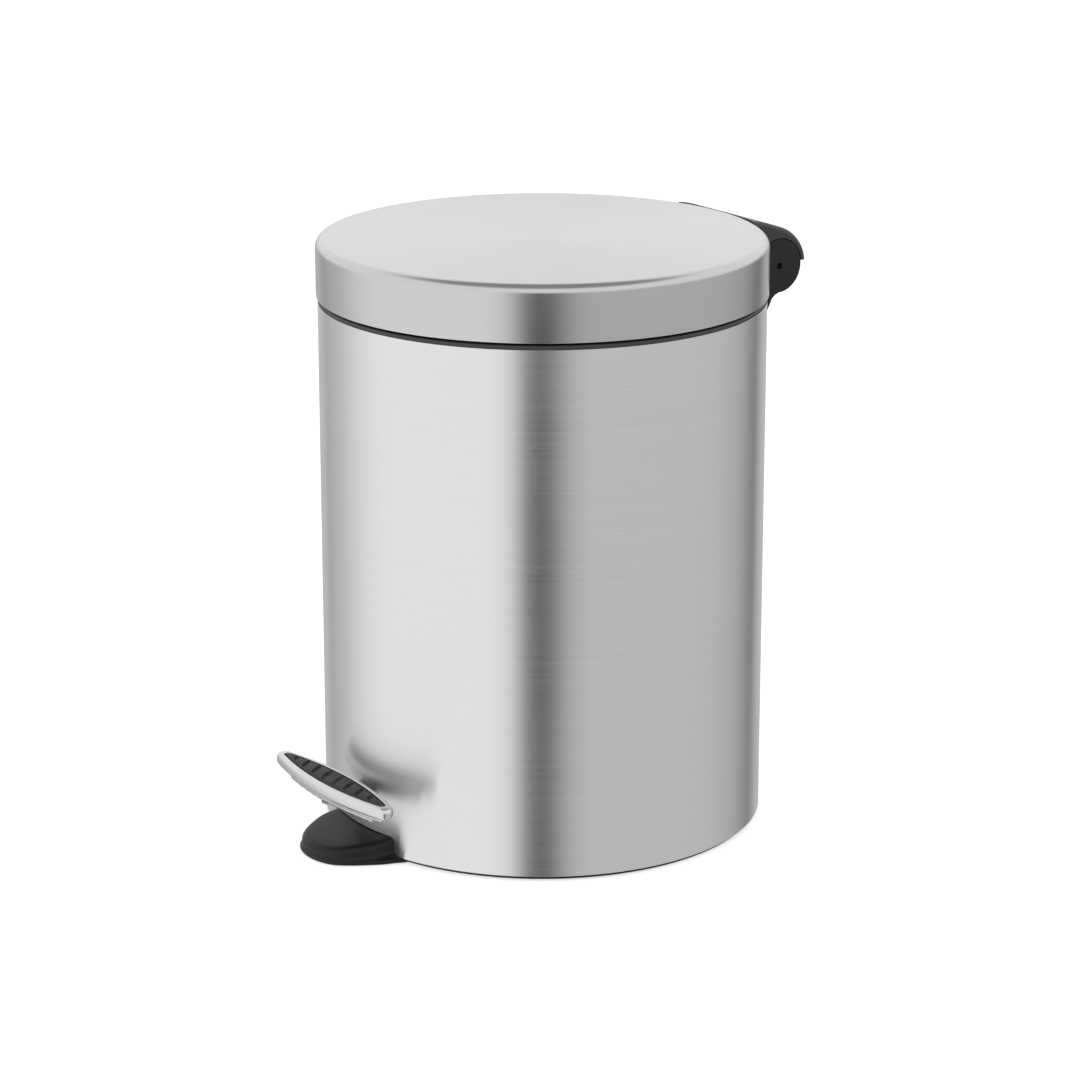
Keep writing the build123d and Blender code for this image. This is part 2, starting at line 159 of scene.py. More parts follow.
# %% Light tent: walls, ceiling and backdrop
def make_tent():
    world = bpy.data.worlds.new("light_tent")
    bpy.context.scene.world = world
    world.use_nodes = True
    tree = world.node_tree
    tree.nodes.clear()
    where = tree.nodes.new("ShaderNodeTexCoord")
    turn = tree.nodes.new("ShaderNodeVectorRotate")
    turn.rotation_type = "Z_AXIS"
    turn.inputs["Angle"].default_value = -AZIMUTH
    tree.links.new(where.outputs["Generated"], turn.inputs["Vector"])
    split = tree.nodes.new("ShaderNodeSeparateXYZ")
    tree.links.new(turn.outputs["Vector"], split.inputs["Vector"])
    height = split.outputs["Z"]
    join = tree.nodes.new("ShaderNodeMix")
    join.data_type = "RGBA"
    tree.links.new(fade(tree, height, CEILING_FADE), join.inputs["Factor"])
    tree.links.new(bands(tree, compass(tree, split.outputs)), join.inputs[6])
    tree.links.new(fade(tree, height, OVERHEAD_FADE, CEILING, OVERHEAD), join.inputs[7])
    soft = tree.nodes.new("ShaderNodeBackground")
    tree.links.new(join.outputs[2], soft.inputs["Color"])
    plain = tree.nodes.new("ShaderNodeBackground")
    plain.inputs["Color"].default_value = (1, 1, 1, 1)
    seen = tree.nodes.new("ShaderNodeLightPath")
    pick = tree.nodes.new("ShaderNodeMixShader")
    tree.links.new(seen.outputs["Is Camera Ray"], pick.inputs["Fac"])
    tree.links.new(soft.outputs["Background"], pick.inputs[1])
    tree.links.new(plain.outputs["Background"], pick.inputs[2])
    out = tree.nodes.new("ShaderNodeOutputWorld")
    tree.links.new(pick.outputs["Shader"], out.inputs["Surface"])
    return world


print("world", make_tent().name)
bpy.context.scene.view_settings.view_transform = "Standard"

# %% [markdown]
# The floor is a plain white sheet that glows a little, like a lit acrylic table. It keeps the
# shadow under the base faint. Glossy rays miss it, so the steel shows the tent all the way down.

# %% Floor
FLOOR_HALF = 8.0
FLOOR_GLOW = 0.55


def lay_floor():
    mesh = bpy.data.meshes.new("floor")
    corners = [(sx * FLOOR_HALF, sy * FLOOR_HALF, 0) for sx, sy in ((-1, -1), (1, -1), (1, 1), (-1, 1))]
    mesh.from_pydata(corners, [], [(0, 1, 2, 3)])
    floor = bpy.data.objects.new("floor", mesh)
    bpy.context.scene.collection.objects.link(floor)
    paint = bpy.data.materials.new("floor_white")
    paint.use_nodes = True
    shader = paint.node_tree.nodes["Principled BSDF"]
    shader.inputs["Base Color"].default_value = (0.86, 0.86, 0.86, 1)
    shader.inputs["Roughness"].default_value = 0.9
    shader.inputs["Specular IOR Level"].default_value = 0.0
    shader.inputs["Emission Color"].default_value = (1, 1, 1, 1)
    shader.inputs["Emission Strength"].default_value = FLOOR_GLOW
    mesh.materials.append(paint)
    floor.visible_glossy = False
    return floor


print("floor laid,", 2 * lay_floor().data.vertices[2].co.x, "m across")

# %% [markdown]
# Finishes come next. Each one is a Principled shader with noise on Object coordinates for the
# grain, so nothing has to be unwrapped. A few helpers wire the noise into colour, gloss and bump,
# and each finish then says only its own numbers.

# %% Helpers for finishes
def new_finish(name, colour, roughness, metallic=0.0):
    finish = bpy.data.materials.new(name)
    finish.use_nodes = True
    shader = finish.node_tree.nodes["Principled BSDF"]
    shader.inputs["Base Color"].default_value = (*colour, 1)
    shader.inputs["Metallic"].default_value = metallic
    shader.inputs["Roughness"].default_value = roughness
    return finish, shader


def noise(finish, stretch, detail=4.0, rough=0.6):
    tree = finish.node_tree
    where = tree.nodes.new("ShaderNodeTexCoord")
    squeeze = tree.nodes.new("ShaderNodeMapping")
    squeeze.inputs["Scale"].default_value = stretch
    speckle = tree.nodes.new("ShaderNodeTexNoise")
    speckle.inputs["Scale"].default_value = 1.0
    speckle.inputs["Detail"].default_value = detail
    speckle.inputs["Roughness"].default_value = rough
    tree.links.new(where.outputs["Object"], squeeze.inputs["Vector"])
    tree.links.new(squeeze.outputs["Vector"], speckle.inputs["Vector"])
    return speckle.outputs["Fac"]


def spread(finish, value, low, high):
    tree = finish.node_tree
    scale = tree.nodes.new("ShaderNodeMapRange")
    scale.inputs["From Min"].default_value = 0.3
    scale.inputs["From Max"].default_value = 0.7
    scale.inputs["To Min"].default_value = low
    scale.inputs["To Max"].default_value = high
    tree.links.new(value, scale.inputs["Value"])
    return scale.outputs["Result"]


def add(finish, first, second):
    plus = finish.node_tree.nodes.new("ShaderNodeMath")
    plus.operation = "ADD"
    finish.node_tree.links.new(first, plus.inputs[0])
    finish.node_tree.links.new(second, plus.inputs[1])
    return plus.outputs["Value"]


def raise_bumps(finish, shader, value, strength, distance):
    bump = finish.node_tree.nodes.new("ShaderNodeBump")
    bump.inputs["Strength"].default_value = strength
    bump.inputs["Distance"].default_value = distance
    finish.node_tree.links.new(value, bump.inputs["Height"])
    finish.node_tree.links.new(bump.outputs["Normal"], shader.inputs["Normal"])


def tint(finish, shader, value, dark, light):
    ramp = finish.node_tree.nodes.new("ShaderNodeValToRGB")
    ramp.color_ramp.elements[0].position = 0.3
    ramp.color_ramp.elements[0].color = (*dark, 1)
    ramp.color_ramp.elements[1].position = 0.7
    ramp.color_ramp.elements[1].color = (*light, 1)
    finish.node_tree.links.new(value, ramp.inputs["Fac"])
    finish.node_tree.links.new(ramp.outputs["Color"], shader.inputs["Base Color"])


print("helpers for noise, colour, gloss and bump are ready")

# %% [markdown]
# The body is satin steel. Its grain comes from noise squeezed along the height and stretched round
# the body, as on a rolled and polished sheet, and its highlights are smeared upright by the
# shader's anisotropy. The lid is polished less one way. The pedal is bright pressed steel, and the
# hidden arms, pins and screws are zinc plated, with a fine crystal flake.

# %% Steel finishes
GRAIN_SWING = 0.015
CLOUD_SWING = 0.02
CLOUD = (14, 14, 9)


def satin_steel(name, shade, stretch, dull, smear):
    finish, shader = new_finish(name, (shade, shade, shade), dull, 1.0)
    grain = noise(finish, stretch, 5.0, 0.65)
    cloud = noise(finish, CLOUD, 3.0)
    tint(finish, shader, grain, (shade * (1 - GRAIN_SWING),) * 3, (shade * (1 + GRAIN_SWING),) * 3)
    fine = spread(finish, grain, dull - GRAIN_SWING, dull + GRAIN_SWING)
    slow = spread(finish, cloud, -CLOUD_SWING, CLOUD_SWING)
    finish.node_tree.links.new(add(finish, fine, slow), shader.inputs["Roughness"])
    shader.inputs["Anisotropic"].default_value = smear
    shader.inputs["Anisotropic Rotation"].default_value = 0.25
    round_grain = finish.node_tree.nodes.new("ShaderNodeTangent")
    round_grain.direction_type = "RADIAL"
    round_grain.axis = "Z"
    finish.node_tree.links.new(round_grain.outputs["Tangent"], shader.inputs["Tangent"])
    raise_bumps(finish, shader, grain, 0.025, 0.00002)
    return finish


def bright_steel():
    finish, shader = new_finish("polished_steel", (0.66, 0.66, 0.66), 0.20, 1.0)
    smear = noise(finish, (90, 90, 260), 3.0)
    finish.node_tree.links.new(spread(finish, smear, 0.16, 0.25), shader.inputs["Roughness"])
    raise_bumps(finish, shader, smear, 0.04, 0.00005)
    return finish


def zinc_plate():
    finish, shader = new_finish("zinc_plate", (0.52, 0.53, 0.55), 0.35, 1.0)
    flake = noise(finish, (420, 420, 420), 5.0)
    tint(finish, shader, flake, (0.44, 0.45, 0.48), (0.60, 0.60, 0.60))
    finish.node_tree.links.new(spread(finish, flake, 0.28, 0.42), shader.inputs["Roughness"])
    raise_bumps(finish, shader, flake, 0.12, 0.00005)
    return finish


steel_body = satin_steel("steel_body", 0.70, (5, 5, 1500), 0.24, 0.9)
steel_lid = satin_steel("steel_lid", 0.57, (5, 420, 1500), 0.22, 0.3)
steel_pedal = bright_steel()
zinc = zinc_plate()
print("steel finishes", steel_body.name, steel_lid.name, steel_pedal.name, zinc.name)

# %% [markdown]
# The black pieces are moulded. Their mould is lightly spark-eroded, which leaves an even, very
# fine orange peel that breaks up reflections. Fine noise in the bump makes that, and a slower
# noise varies the gloss a little, because handled plastic is never evenly shiny.

# %% Plastic and rubber finishes
def moulded(name, dark, light, gloss, peel, depth, glint=0.5):
    """Plastic in two close greys, with pores peel to the metre and depth metres deep."""
    finish, shader = new_finish(name, dark, gloss)
    shader.inputs["Specular IOR Level"].default_value = glint
    pore = noise(finish, (peel, peel, peel), 3.0)
    handled = noise(finish, (30, 30, 30), 2.0)
    tint(finish, shader, handled, dark, light)
    shine = add(finish, spread(finish, handled, gloss - 0.04, gloss), spread(finish, pore, -0.02, 0.06))
    finish.node_tree.links.new(shine, shader.inputs["Roughness"])
    raise_bumps(finish, shader, pore, 0.35, depth)
    return finish


BLACK = (0.005, 0.005, 0.005)
WORN_BLACK = (0.008, 0.008, 0.008)
black_plastic = moulded("black_plastic", BLACK, WORN_BLACK, 0.42, 1500, 0.00004, 0.3)
cover_plastic = moulded("cover_plastic", BLACK, WORN_BLACK, 0.36, 1500, 0.00004, 0.7)
rim_plastic = moulded("rim_plastic", (0.022, 0.022, 0.022), (0.030, 0.030, 0.030), 0.45, 1500, 0.00004)
bucket_plastic = moulded("bucket_plastic", (0.016, 0.016, 0.017), (0.022, 0.022, 0.023), 0.36, 700, 0.00004)
black_rubber = moulded("black_rubber", (0.016, 0.016, 0.016), (0.026, 0.026, 0.026), 0.55, 1100, 0.00008)
print("mouldings", black_plastic.name, cover_plastic.name, rim_plastic.name, black_rubber.name)

# %% [markdown]
# Every piece of the model gets its finish now, hidden ones too, because the lid opens. The
# cover of the hinge is a little glossier than the other black mouldings, since hands and cloths
# rub it.

# %% Finishes for every piece
FINISH_OF_SLOT = {
    "satin_steel": steel_body,
    "polished_steel": steel_pedal,
    "zinc_steel": zinc,
    "black_plastic": black_plastic,
    "bucket_plastic": bucket_plastic,
    "black_rubber": black_rubber,
}
for entry in frame["record"]["subparts"]:
    finish = cover_plastic if entry["node"] == "hinge_cover" else FINISH_OF_SLOT[entry["material_slot"]]
    mesh = nodes[entry["node"]].data
    mesh.materials.clear()
    mesh.materials.append(finish)
print("finishes given to", len(nodes), "CAD pieces")

# %% [markdown]
# A visible piece is a mesh made from plain points and faces. Its doubles are merged, its normals
# are made to point outwards, and its edges are kept sharp only past an angle. Each piece then
# rides on its body, takes its slot and stands in for its node of the model.

# %% Pieces
BODY_OF_NODE = {n: body for body, members in frame["record"]["behaviour"]["bodies"].items() for n in members}


def make_piece(name, points, faces, finish, sharp=32):
    mesh = bpy.data.meshes.new(name)
    mesh.from_pydata([[c * MM for c in p] for p in points], [], faces)
    work = bmesh.new()
    work.from_mesh(mesh)
    bmesh.ops.remove_doubles(work, verts=work.verts, dist=0.000004)
    bmesh.ops.dissolve_degenerate(work, edges=work.edges, dist=0.000001)
    bmesh.ops.recalc_face_normals(work, faces=work.faces)
    work.to_mesh(mesh)
    work.free()
    mesh.polygons.foreach_set("use_smooth", [True] * len(mesh.polygons))
    mesh.set_sharp_from_angle(angle=radians(sharp))
    mesh.materials.append(finish)
    piece = bpy.data.objects.new(name, mesh)
    bpy.context.scene.collection.objects.link(piece)
    return piece


def stand_for(piece, node):
    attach(piece, BODY_OF_NODE[node])
    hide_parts(node)
    print(piece.name, "stands for", node, "with", len(piece.data.polygons), "faces")
    return piece


# %% [markdown]
# Most visible pieces are turned or drawn shapes. A section is an outline with its corners rounded.
# One helper turns it round the upright axis. Writing the vertices directly keeps the quads even,
# which is what makes steel reflect in straight clean bands. A boolean on a cylinder would leave
# long slivers that show as dents.

# %% Turned shapes
def soften(corners, steps=5):
    """Rounds each corner (a, b, radius) of a closed outline."""
    line = []
    for i, (a, b, radius) in enumerate(corners):
        here = Vector((a, b))
        back = Vector(corners[i - 1][:2]) - here
        ahead = Vector(corners[(i + 1) % len(corners)][:2]) - here
        if radius == 0:
            line.append(here)
            continue
        half = back.angle(ahead) / 2
        cut = min(radius / tan(half), 0.48 * back.length, 0.48 * ahead.length)
        radius = cut * tan(half)
        middle = here + (back.normalized() + ahead.normalized()).normalized() * (radius / sin(half))
        first = here + back.normalized() * cut - middle
        last = here + ahead.normalized() * cut - middle
        start = atan2(first.y, first.x)
        sweep = (atan2(last.y, last.x) - start + pi) % (2 * pi) - pi
        for k in range(steps + 1):
            angle = start + sweep * k / steps
            line.append(middle + Vector((cos(angle), sin(angle))) * radius)
    return [(p.x, p.y) for p in line]


def section(inner, outer, low, high, rounds):
    """A ring's rectangular section, with its corner radii from the low inner corner onwards."""
    corners = [(inner, low), (outer, low), (outer, high), (inner, high)]
    return soften([(*corner, radius) for corner, radius in zip(corners, rounds)])


def turned(profile, steps=300, start=0.0, sweep=360.0):
    """Points and faces of a closed profile of (radius, height) turned round the upright axis."""
    whole = sweep >= 360
    rings = steps if whole else steps + 1
    points = []
    for k in range(rings):
        angle = radians(start + sweep * k / steps)
        points += [(r * cos(angle), r * sin(angle), z) for r, z in profile]
    n = len(profile)
    faces = []
    for k in range(steps):
        a, b = k * n, ((k + 1) % rings) * n
        for i in range(n):
            j = (i + 1) % n
            if profile[i][0] > 0 or profile[j][0] > 0:
                faces.append((a + i, b + i, b + j, a + j))
    if not whole:
        faces += [tuple(range(n)), tuple(range((rings - 1) * n, rings * n))]
    return points, faces


print("turned shapes have", len(turned(section(1, 2, 0, 1, (0, 0, 0, 0)), 8)[1]), "faces at 8 steps")

# %% [markdown]
# Drawn shapes, such as the foot and the pedal, are closed loops stacked like slices and skinned.
# A flat-sided block is the same thing with two slices, and several shapes join into one mesh.

# %% Stacked shapes
def stacked(loops):
    """Points and faces of equal closed loops, skinned in order and capped at both ends."""
    n = len(loops[0])
    points = [p for loop in loops for p in loop]
    faces = [tuple(range(n)), tuple(range(len(points) - n, len(points)))]
    for k in range(len(loops) - 1):
        for i in range(n):
            j = (i + 1) % n
            faces.append((k * n + i, k * n + j, (k + 1) * n + j, (k + 1) * n + i))
    return points, faces


def together(*shapes):
    points, faces = [], []
    for more_points, more_faces in shapes:
        shift = len(points)
        points += more_points
        faces += [tuple(i + shift for i in face) for face in more_faces]
    return points, faces


def across(outline, left, right):
    """A flat-sided block: an outline of (y, z) carried from x = left to x = right."""
    return stacked([[(x, y, z) for y, z in outline] for x in (left, right)])


print("a block has", len(across([(0, 0), (1, 0), (1, 1), (0, 1)], 0, 1)[1]), "faces")

# %% [markdown]
# The body is a sheet bent round and seamed, with two openings at the front: one where the foot
# comes through at the bottom, and a small slot behind the pedal for its arm. The wall is made
# column by column. Each column knows where its lower edge and the slot's two edges are, so the
# openings keep their rounded corners without a boolean.

# %% Body wall: its openings
body_low, body_high = (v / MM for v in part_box("body_shell"))
SHEET = 0.8
BODY_R = body_high.x
BODY_IN = BODY_R - SHEET
GAP_HALF_WIDTH = 24.2
GAP_TOP = 10.9
GAP_ROUND = 2.0
GAP_FLARE = 4.4
GAP_FLARE_RISE = 2.5
SLOT_HALF = 8.2
SLOT_LOW = 16.2
SLOT_HIGH = 29.0
SLOT_ROUND = 1.5


def lower_edge(x):
    """Height of the wall's lower edge at x: raised over the foot, with a small flare beside it."""
    if x < GAP_HALF_WIDTH - GAP_ROUND:
        return GAP_TOP
    if x <= GAP_HALF_WIDTH:
        round_reach = x - GAP_HALF_WIDTH + GAP_ROUND
        return GAP_TOP - GAP_ROUND + sqrt(max(0, GAP_ROUND ** 2 - round_reach ** 2))
    if x < GAP_HALF_WIDTH + GAP_FLARE:
        return body_low.z + GAP_FLARE_RISE * ((GAP_HALF_WIDTH + GAP_FLARE - x) / GAP_FLARE) ** 2
    return body_low.z


def slot_edges(x):
    """Lower and upper edge of the slot at x."""
    round_reach = max(0.0, min(x, SLOT_HALF) - SLOT_HALF + SLOT_ROUND)
    lift = SLOT_ROUND - sqrt(max(0, SLOT_ROUND ** 2 - round_reach ** 2))
    return SLOT_LOW + lift, SLOT_HIGH - lift


print("foot opening", 2 * GAP_HALF_WIDTH, "mm wide, slot", 2 * SLOT_HALF, "mm wide")

# %% [markdown]
# The columns are even round the body and closer together at the round corners of both openings.
# Inside the slot a column leaves out two of its faces, outer and inner, and gets the slot's lower
# and upper edge instead.

# %% Body wall: its columns
COLUMNS = 320
SLOT_SPANS = (1, 7)
EDGE_CHAMFER = 0.08
FOOT_CHAMFER = 0.1


def column_angles():
    angles = [2 * pi * k / COLUMNS for k in range(COLUMNS)]
    near = [SLOT_HALF - d for d in (0, 0.05, 0.25, 0.6, 1.0, 1.5)]
    near += [GAP_HALF_WIDTH + d for d in (-2, -1.5, -0.9, -0.4, -0.1, 0, 0.02, 0.8, 1.6, 2.6, 3.6, 4.4)]
    for x in near:
        angles += [3 * pi / 2 + asin(x / BODY_R), 3 * pi / 2 - asin(x / BODY_R)]
    return sorted(angles)


def wall_column(angle):
    """One closed section of the wall, and whether it lies in the slot."""
    x = abs(BODY_R * cos(angle)) if sin(angle) < 0 else BODY_R
    foot, top = lower_edge(x), body_high.z
    low, high = slot_edges(x)
    outside = [
        (BODY_R, foot + FOOT_CHAMFER), (BODY_R, low), (BODY_R, high),
        (BODY_R, top - EDGE_CHAMFER), (BODY_R - EDGE_CHAMFER, top),
    ]
    inside = [
        (BODY_IN + EDGE_CHAMFER, top), (BODY_IN, top - EDGE_CHAMFER), (BODY_IN, high), (BODY_IN, low),
        (BODY_IN, foot + FOOT_CHAMFER), (BODY_IN + FOOT_CHAMFER, foot), (BODY_R - FOOT_CHAMFER, foot),
    ]
    points = [(r * cos(angle), r * sin(angle), z) for r, z in outside + inside]
    return points, x <= SLOT_HALF + 0.001


def body_wall():
    columns = [wall_column(angle) for angle in column_angles()]
    points = [p for column, _ in columns for p in column]
    n = len(columns[0][0])
    outer, inner = SLOT_SPANS
    faces = []
    for k in range(len(columns)):
        m = (k + 1) % len(columns)
        a, b = k * n, m * n
        here, there = columns[k][1], columns[m][1]
        for i in range(n):
            if not (here and there and i in SLOT_SPANS):
                j = (i + 1) % n
                faces.append((a + i, b + i, b + j, a + j))
        if here and there:
            faces.append((a + outer, b + outer, b + inner + 1, a + inner + 1))
            faces.append((a + outer + 1, b + outer + 1, b + inner, a + inner))
        elif here != there:
            c = a if here else b
            faces.append((c + outer, c + outer + 1, c + inner, c + inner + 1))
    return points, faces


stand_for(make_piece("body_wall", *body_wall(), steel_body), "body_shell")

# %% [markdown]
# The lid is drawn from one disc, so its edge is a true radius that rolls from the flat top into
# the skirt. Turning one profile gives it exactly. A tiny inward hem stiffens the skirt's edge.

# %% Lid
lid_low, lid_high = (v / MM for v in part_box("lid_shell"))
LID_R = lid_high.x
LID_ROUND = 4.0
HEM = 1.3
HEM_RISE = 1.1
HEM_ROUND = 0.35


def lid_profile():
    low, top = lid_low.z, lid_high.z
    outside = [(0, top, 0), (LID_R, top, LID_ROUND), (LID_R, low, HEM_ROUND)]
    hem = [(LID_R - HEM, low, HEM_ROUND), (LID_R - HEM, low + HEM_RISE, 0.2), (LID_R - SHEET, low + HEM, 0)]
    inside = [(LID_R - SHEET, top - SHEET, LID_ROUND - SHEET), (0, top - SHEET, 0)]
    return soften(outside + hem + inside, 12)


stand_for(make_piece("lid_skin", *turned(lid_profile(), 320), steel_lid), "lid_shell")

# %% [markdown]
# The rim ring clips over the body's top edge. From outside only its rounded bead shows, as a thin
# dark line under the lid. Inside, a ledge carries the bucket, and ledge and wall are left out for
# a few degrees at the back, where the push rod passes.

# %% Rim ring
rim_low, rim_high = (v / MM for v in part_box("top_rim"))
ROD_GAP = 8.6
RIM_IN = 98.6
RIM_THIN_IN = 100.4
CLIP_IN = 98.4
CLIP_OUT = 100.9
LEDGE_IN = 87.0
LEDGE_Z = (238.2, 240.0)


def rim_ring():
    bead = section(RIM_IN, rim_high.x, body_high.z, rim_high.z, (0, 0.3, 0.9, 0.6))
    thin = section(RIM_THIN_IN, rim_high.x, body_high.z, rim_high.z, (0, 0.3, 0.5, 0.3))
    wall = section(CLIP_IN, CLIP_OUT, rim_low.z, body_high.z, (0.4, 0.4, 0, 0))
    ledge = section(LEDGE_IN, RIM_IN, *LEDGE_Z, (0.5, 0, 0, 0.5))
    start, sweep = 90 + ROD_GAP, 360 - 2 * ROD_GAP
    return together(
        turned(bead, 300, start, sweep),
        turned(thin, 16, 90 - ROD_GAP, 2 * ROD_GAP),
        turned(wall, 300, start, sweep),
        turned(ledge, 300, start, sweep),
    )


stand_for(make_piece("rim_bead", *rim_ring(), rim_plastic), "top_rim")

# %% [markdown]
# The base is one moulding: a ring under the steel, a floor, two posts for the lever's axle and a
# foot that reaches forward so that a hard tread can't tip the bin. The foot is skinned from
# slices. Its lowest slices follow a wider outline that flares into the ring, and the upper ones
# shrink to a rounded lip round a gently sloping top.

# %% Front foot
FOOT_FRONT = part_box("base_ring")[0].y / MM
FLARED = [(30.6, -92), (30.0, -97), (28.2, -101.5), (26.8, -106), (24.2, -111), (19.4, -119),
          (14.2, -125), (7.3, -128.1), (0, FOOT_FRONT)]
UPRIGHT = [(23.9, -92), (23.9, -97), (23.9, -101.5), (23.8, -106), (22.4, -111), (18.5, -118.4),
           (13.6, -124.1), (7.0, -127.4), (0, FOOT_FRONT + 0.7)]
TOP_AT_BODY = 10.5
TOP_SLOPE = 0.1355
SKIRT = [(1, 0.35, 0.3), (1, 0, 0.7), (1, 0, 1.7), (0.9, 0, 2.15), (0.62, 0, 2.45),
         (0.38, 0, 2.85), (0.18, 0, 3.5), (0.05, 0, 4.3), (0, 0, 5.2)]
LIP = [(0, -2.2), (0.25, -1.3), (0.7, -0.65), (1.4, -0.2), (2.4, 0), (4.5, 0)]


def flowing(points, per_span=6):
    """A smooth line through the points, with its tangents taken from their neighbours."""
    whole = [Vector(p) for p in points]
    line = []
    for i in range(len(whole) - 1):
        p0 = whole[max(i - 1, 0)]
        p1, p2 = whole[i], whole[i + 1]
        p3 = whole[min(i + 2, len(whole) - 1)]
        for k in range(per_span):
            t = k / per_span
            blend = 2 * p1 + (p2 - p0) * t + (2 * p0 - 5 * p1 + 4 * p2 - p3) * t * t
            line.append((blend + (3 * p1 - p0 - 3 * p2 + p3) * t * t * t) / 2)
    line.append(whole[-1])
    return line


def both_sides(half):
    left = [(-x, y) for x, y in half]
    return flowing(left + half[-2::-1])


def foot_top(y):
    return TOP_AT_BODY - TOP_SLOPE * (-BODY_R - y)


def foot_slice(share, inset, height_of):
    """One loop: share of the flared outline, drawn in by inset, each point at height_of(y)."""
    line = [w * share + n * (1 - share) for w, n in zip(both_sides(FLARED), both_sides(UPRIGHT))]
    loop = []
    for i, p in enumerate(line):
        along = (line[min(i + 1, len(line) - 1)] - line[max(i - 1, 0)]).normalized()
        q = p + Vector((-along.y, along.x)) * inset
        loop.append((q.x, q.y, min(height_of(q.y), foot_top(q.y))))
    return loop


def front_foot():
    loops = [foot_slice(share, inset, lambda y, z=z: z) for share, inset, z in SKIRT]
    loops += [foot_slice(0, inset, lambda y, drop=drop: foot_top(y) + drop) for inset, drop in LIP]
    return stacked(loops)


print("foot reaches", round(-FOOT_FRONT - BODY_R, 1), "mm past the body")

# %% [markdown]
# The ring's section carries the body's lower edge on a small step. The posts are arches with
# their feet widened by a thin web, since a moulded post on a flat floor would snap off otherwise.

# %% Base ring and posts
STEP_R = 100.0
STEP_Z = 2.1
WALL_IN = 99.3
WALL_OUT = 100.9
WALL_TOP = 14.0
UNDERCUT_R = 92.0
FLOOR_Z = (2.0, 4.2)
POST_X = 19
POST_HALF = 3
AXLE = (-50, 21)
POST_ROUND = 7
WEB_HALF = 1.2
WEB = [(-72, 4.0), (-28, 4.0), (-28, 8.0), (-40, 12.0), (-60, 12.0), (-72, 8.0)]


def base_moulding():
    under, floor = FLOOR_Z
    ring = soften([
        (UNDERCUT_R, 0.3, 0.3), (STEP_R, 0.3, 0.5), (STEP_R, STEP_Z, 0.3), (WALL_OUT, STEP_Z, 0),
        (WALL_OUT, WALL_TOP, 0.6), (WALL_IN, WALL_TOP, 0.4), (WALL_IN, floor, 0.8), (0, floor, 0),
        (0, under, 0), (UNDERCUT_R, under, 0.5),
    ])
    y, z = AXLE
    arch = [(y - POST_ROUND, 4.0), (y + POST_ROUND, 4.0)]
    arch += [(y + POST_ROUND * cos(a * pi / 12), z + POST_ROUND * sin(a * pi / 12)) for a in range(13)]
    shapes = [turned(ring, 300), front_foot()]
    for middle in (-POST_X, POST_X):
        shapes.append(across(arch, middle - POST_HALF, middle + POST_HALF))
        shapes.append(across(WEB, middle - WEB_HALF, middle + WEB_HALF))
    return together(*shapes)


stand_for(make_piece("base_moulding", *base_moulding(), black_plastic), "base_ring")

# %% [markdown]
# The pedal is a lens-shaped cup pressed from steel, with its rim rolled round. Seen from above it
# is two shallow arcs joined by small tip circles. One function draws that outline at any size, so
# the same few lines serve the rolled rim, the pocket and the rubber.

# %% Lens outline
cup_low, cup_high = (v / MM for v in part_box("pedal_cup"))
PEDAL_Y = (cup_low.y + cup_high.y) / 2
CUP_LENS = (cup_high.x, (cup_high.y - cup_low.y) / 2, 4.0)
PAN_LENS = (42.8, 7.2, 2.4)
PAD_LENS = (42.0, 6.4, 1.6)


def lens(size, z, inset=0.0, arc_steps=60, tip_steps=12):
    """A closed loop of the given half-length, half-width and tip radius."""
    end, half, tip_r = size
    tip, side = end - tip_r, half - tip_r
    arc_r = (tip ** 2 + side ** 2) / (2 * side)
    reach = asin(tip / arc_r)
    out = tip_r - inset
    loop = []
    for way in (-1, 1):
        for k in range(arc_steps + 1):
            a = reach * (2 * k / arc_steps - 1)
            y = PEDAL_Y + way * ((arc_r + out) * cos(a) - arc_r + side)
            loop.append((-way * (arc_r + out) * sin(a), y, z))
        for k in range(1, tip_steps):
            a = reach + (pi - 2 * reach) * k / tip_steps
            loop.append((-way * (tip + out * sin(a)), PEDAL_Y + way * out * cos(a), z))
    return loop


print("pedal", round(2 * CUP_LENS[0], 1), "by", round(2 * CUP_LENS[1], 1), "mm")

# %% [markdown]
# The cup is a stack of those outlines: up the shallow pan that hangs below, out and round the
# rolled rim, then down the inside of the pocket. The rim's section is close to a half circle, so
# it takes the light much as a tube does.

# %% Pedal cup
PAN_DEPTH = 1.3
POCKET_FLOOR = 1.0
ROLL_STEPS = 18
ROLL_WIDTH = 2.2
ROLL_SHAPE = 0.85


def pedal_cup():
    low, high, rim_z = cup_low.z, cup_high.z, cup_low.z + PAN_DEPTH
    roll = (high - rim_z) / 2
    loops = [lens(PAN_LENS, low, 1.2), lens(PAN_LENS, low, 0.6), lens(PAN_LENS, low + 0.15, 0.2)]
    loops += [lens(PAN_LENS, low + 0.5, 0.0), lens(PAN_LENS, rim_z, 0.0)]
    for k in range(1, ROLL_STEPS):
        a = pi * k / ROLL_STEPS
        inset = ROLL_WIDTH - ROLL_WIDTH * sin(a) ** ROLL_SHAPE
        loops.append(lens(CUP_LENS, rim_z + roll - roll * cos(a), inset))
    loops += [lens(CUP_LENS, high, 2.5), lens(PAD_LENS, high - 0.15, -0.1), lens(PAD_LENS, high - 0.6, 0.0)]
    loops += [lens(PAD_LENS, low + POCKET_FLOOR, 0.0), lens(PAD_LENS, low + POCKET_FLOOR, 0.6)]
    return stacked(loops)


stand_for(make_piece("pedal_dish", *pedal_cup(), steel_pedal, 40), "pedal_cup")

# %% [markdown]
# The rubber pad drops into the cup and crowns a little. Its tread is a row of broad slanting bars
# with narrow gaps. Rubber is moulded, so nothing on it is sharp: the top is one skin, lifted by a
# smooth height rule that rises over each bar and falls away at the outline.

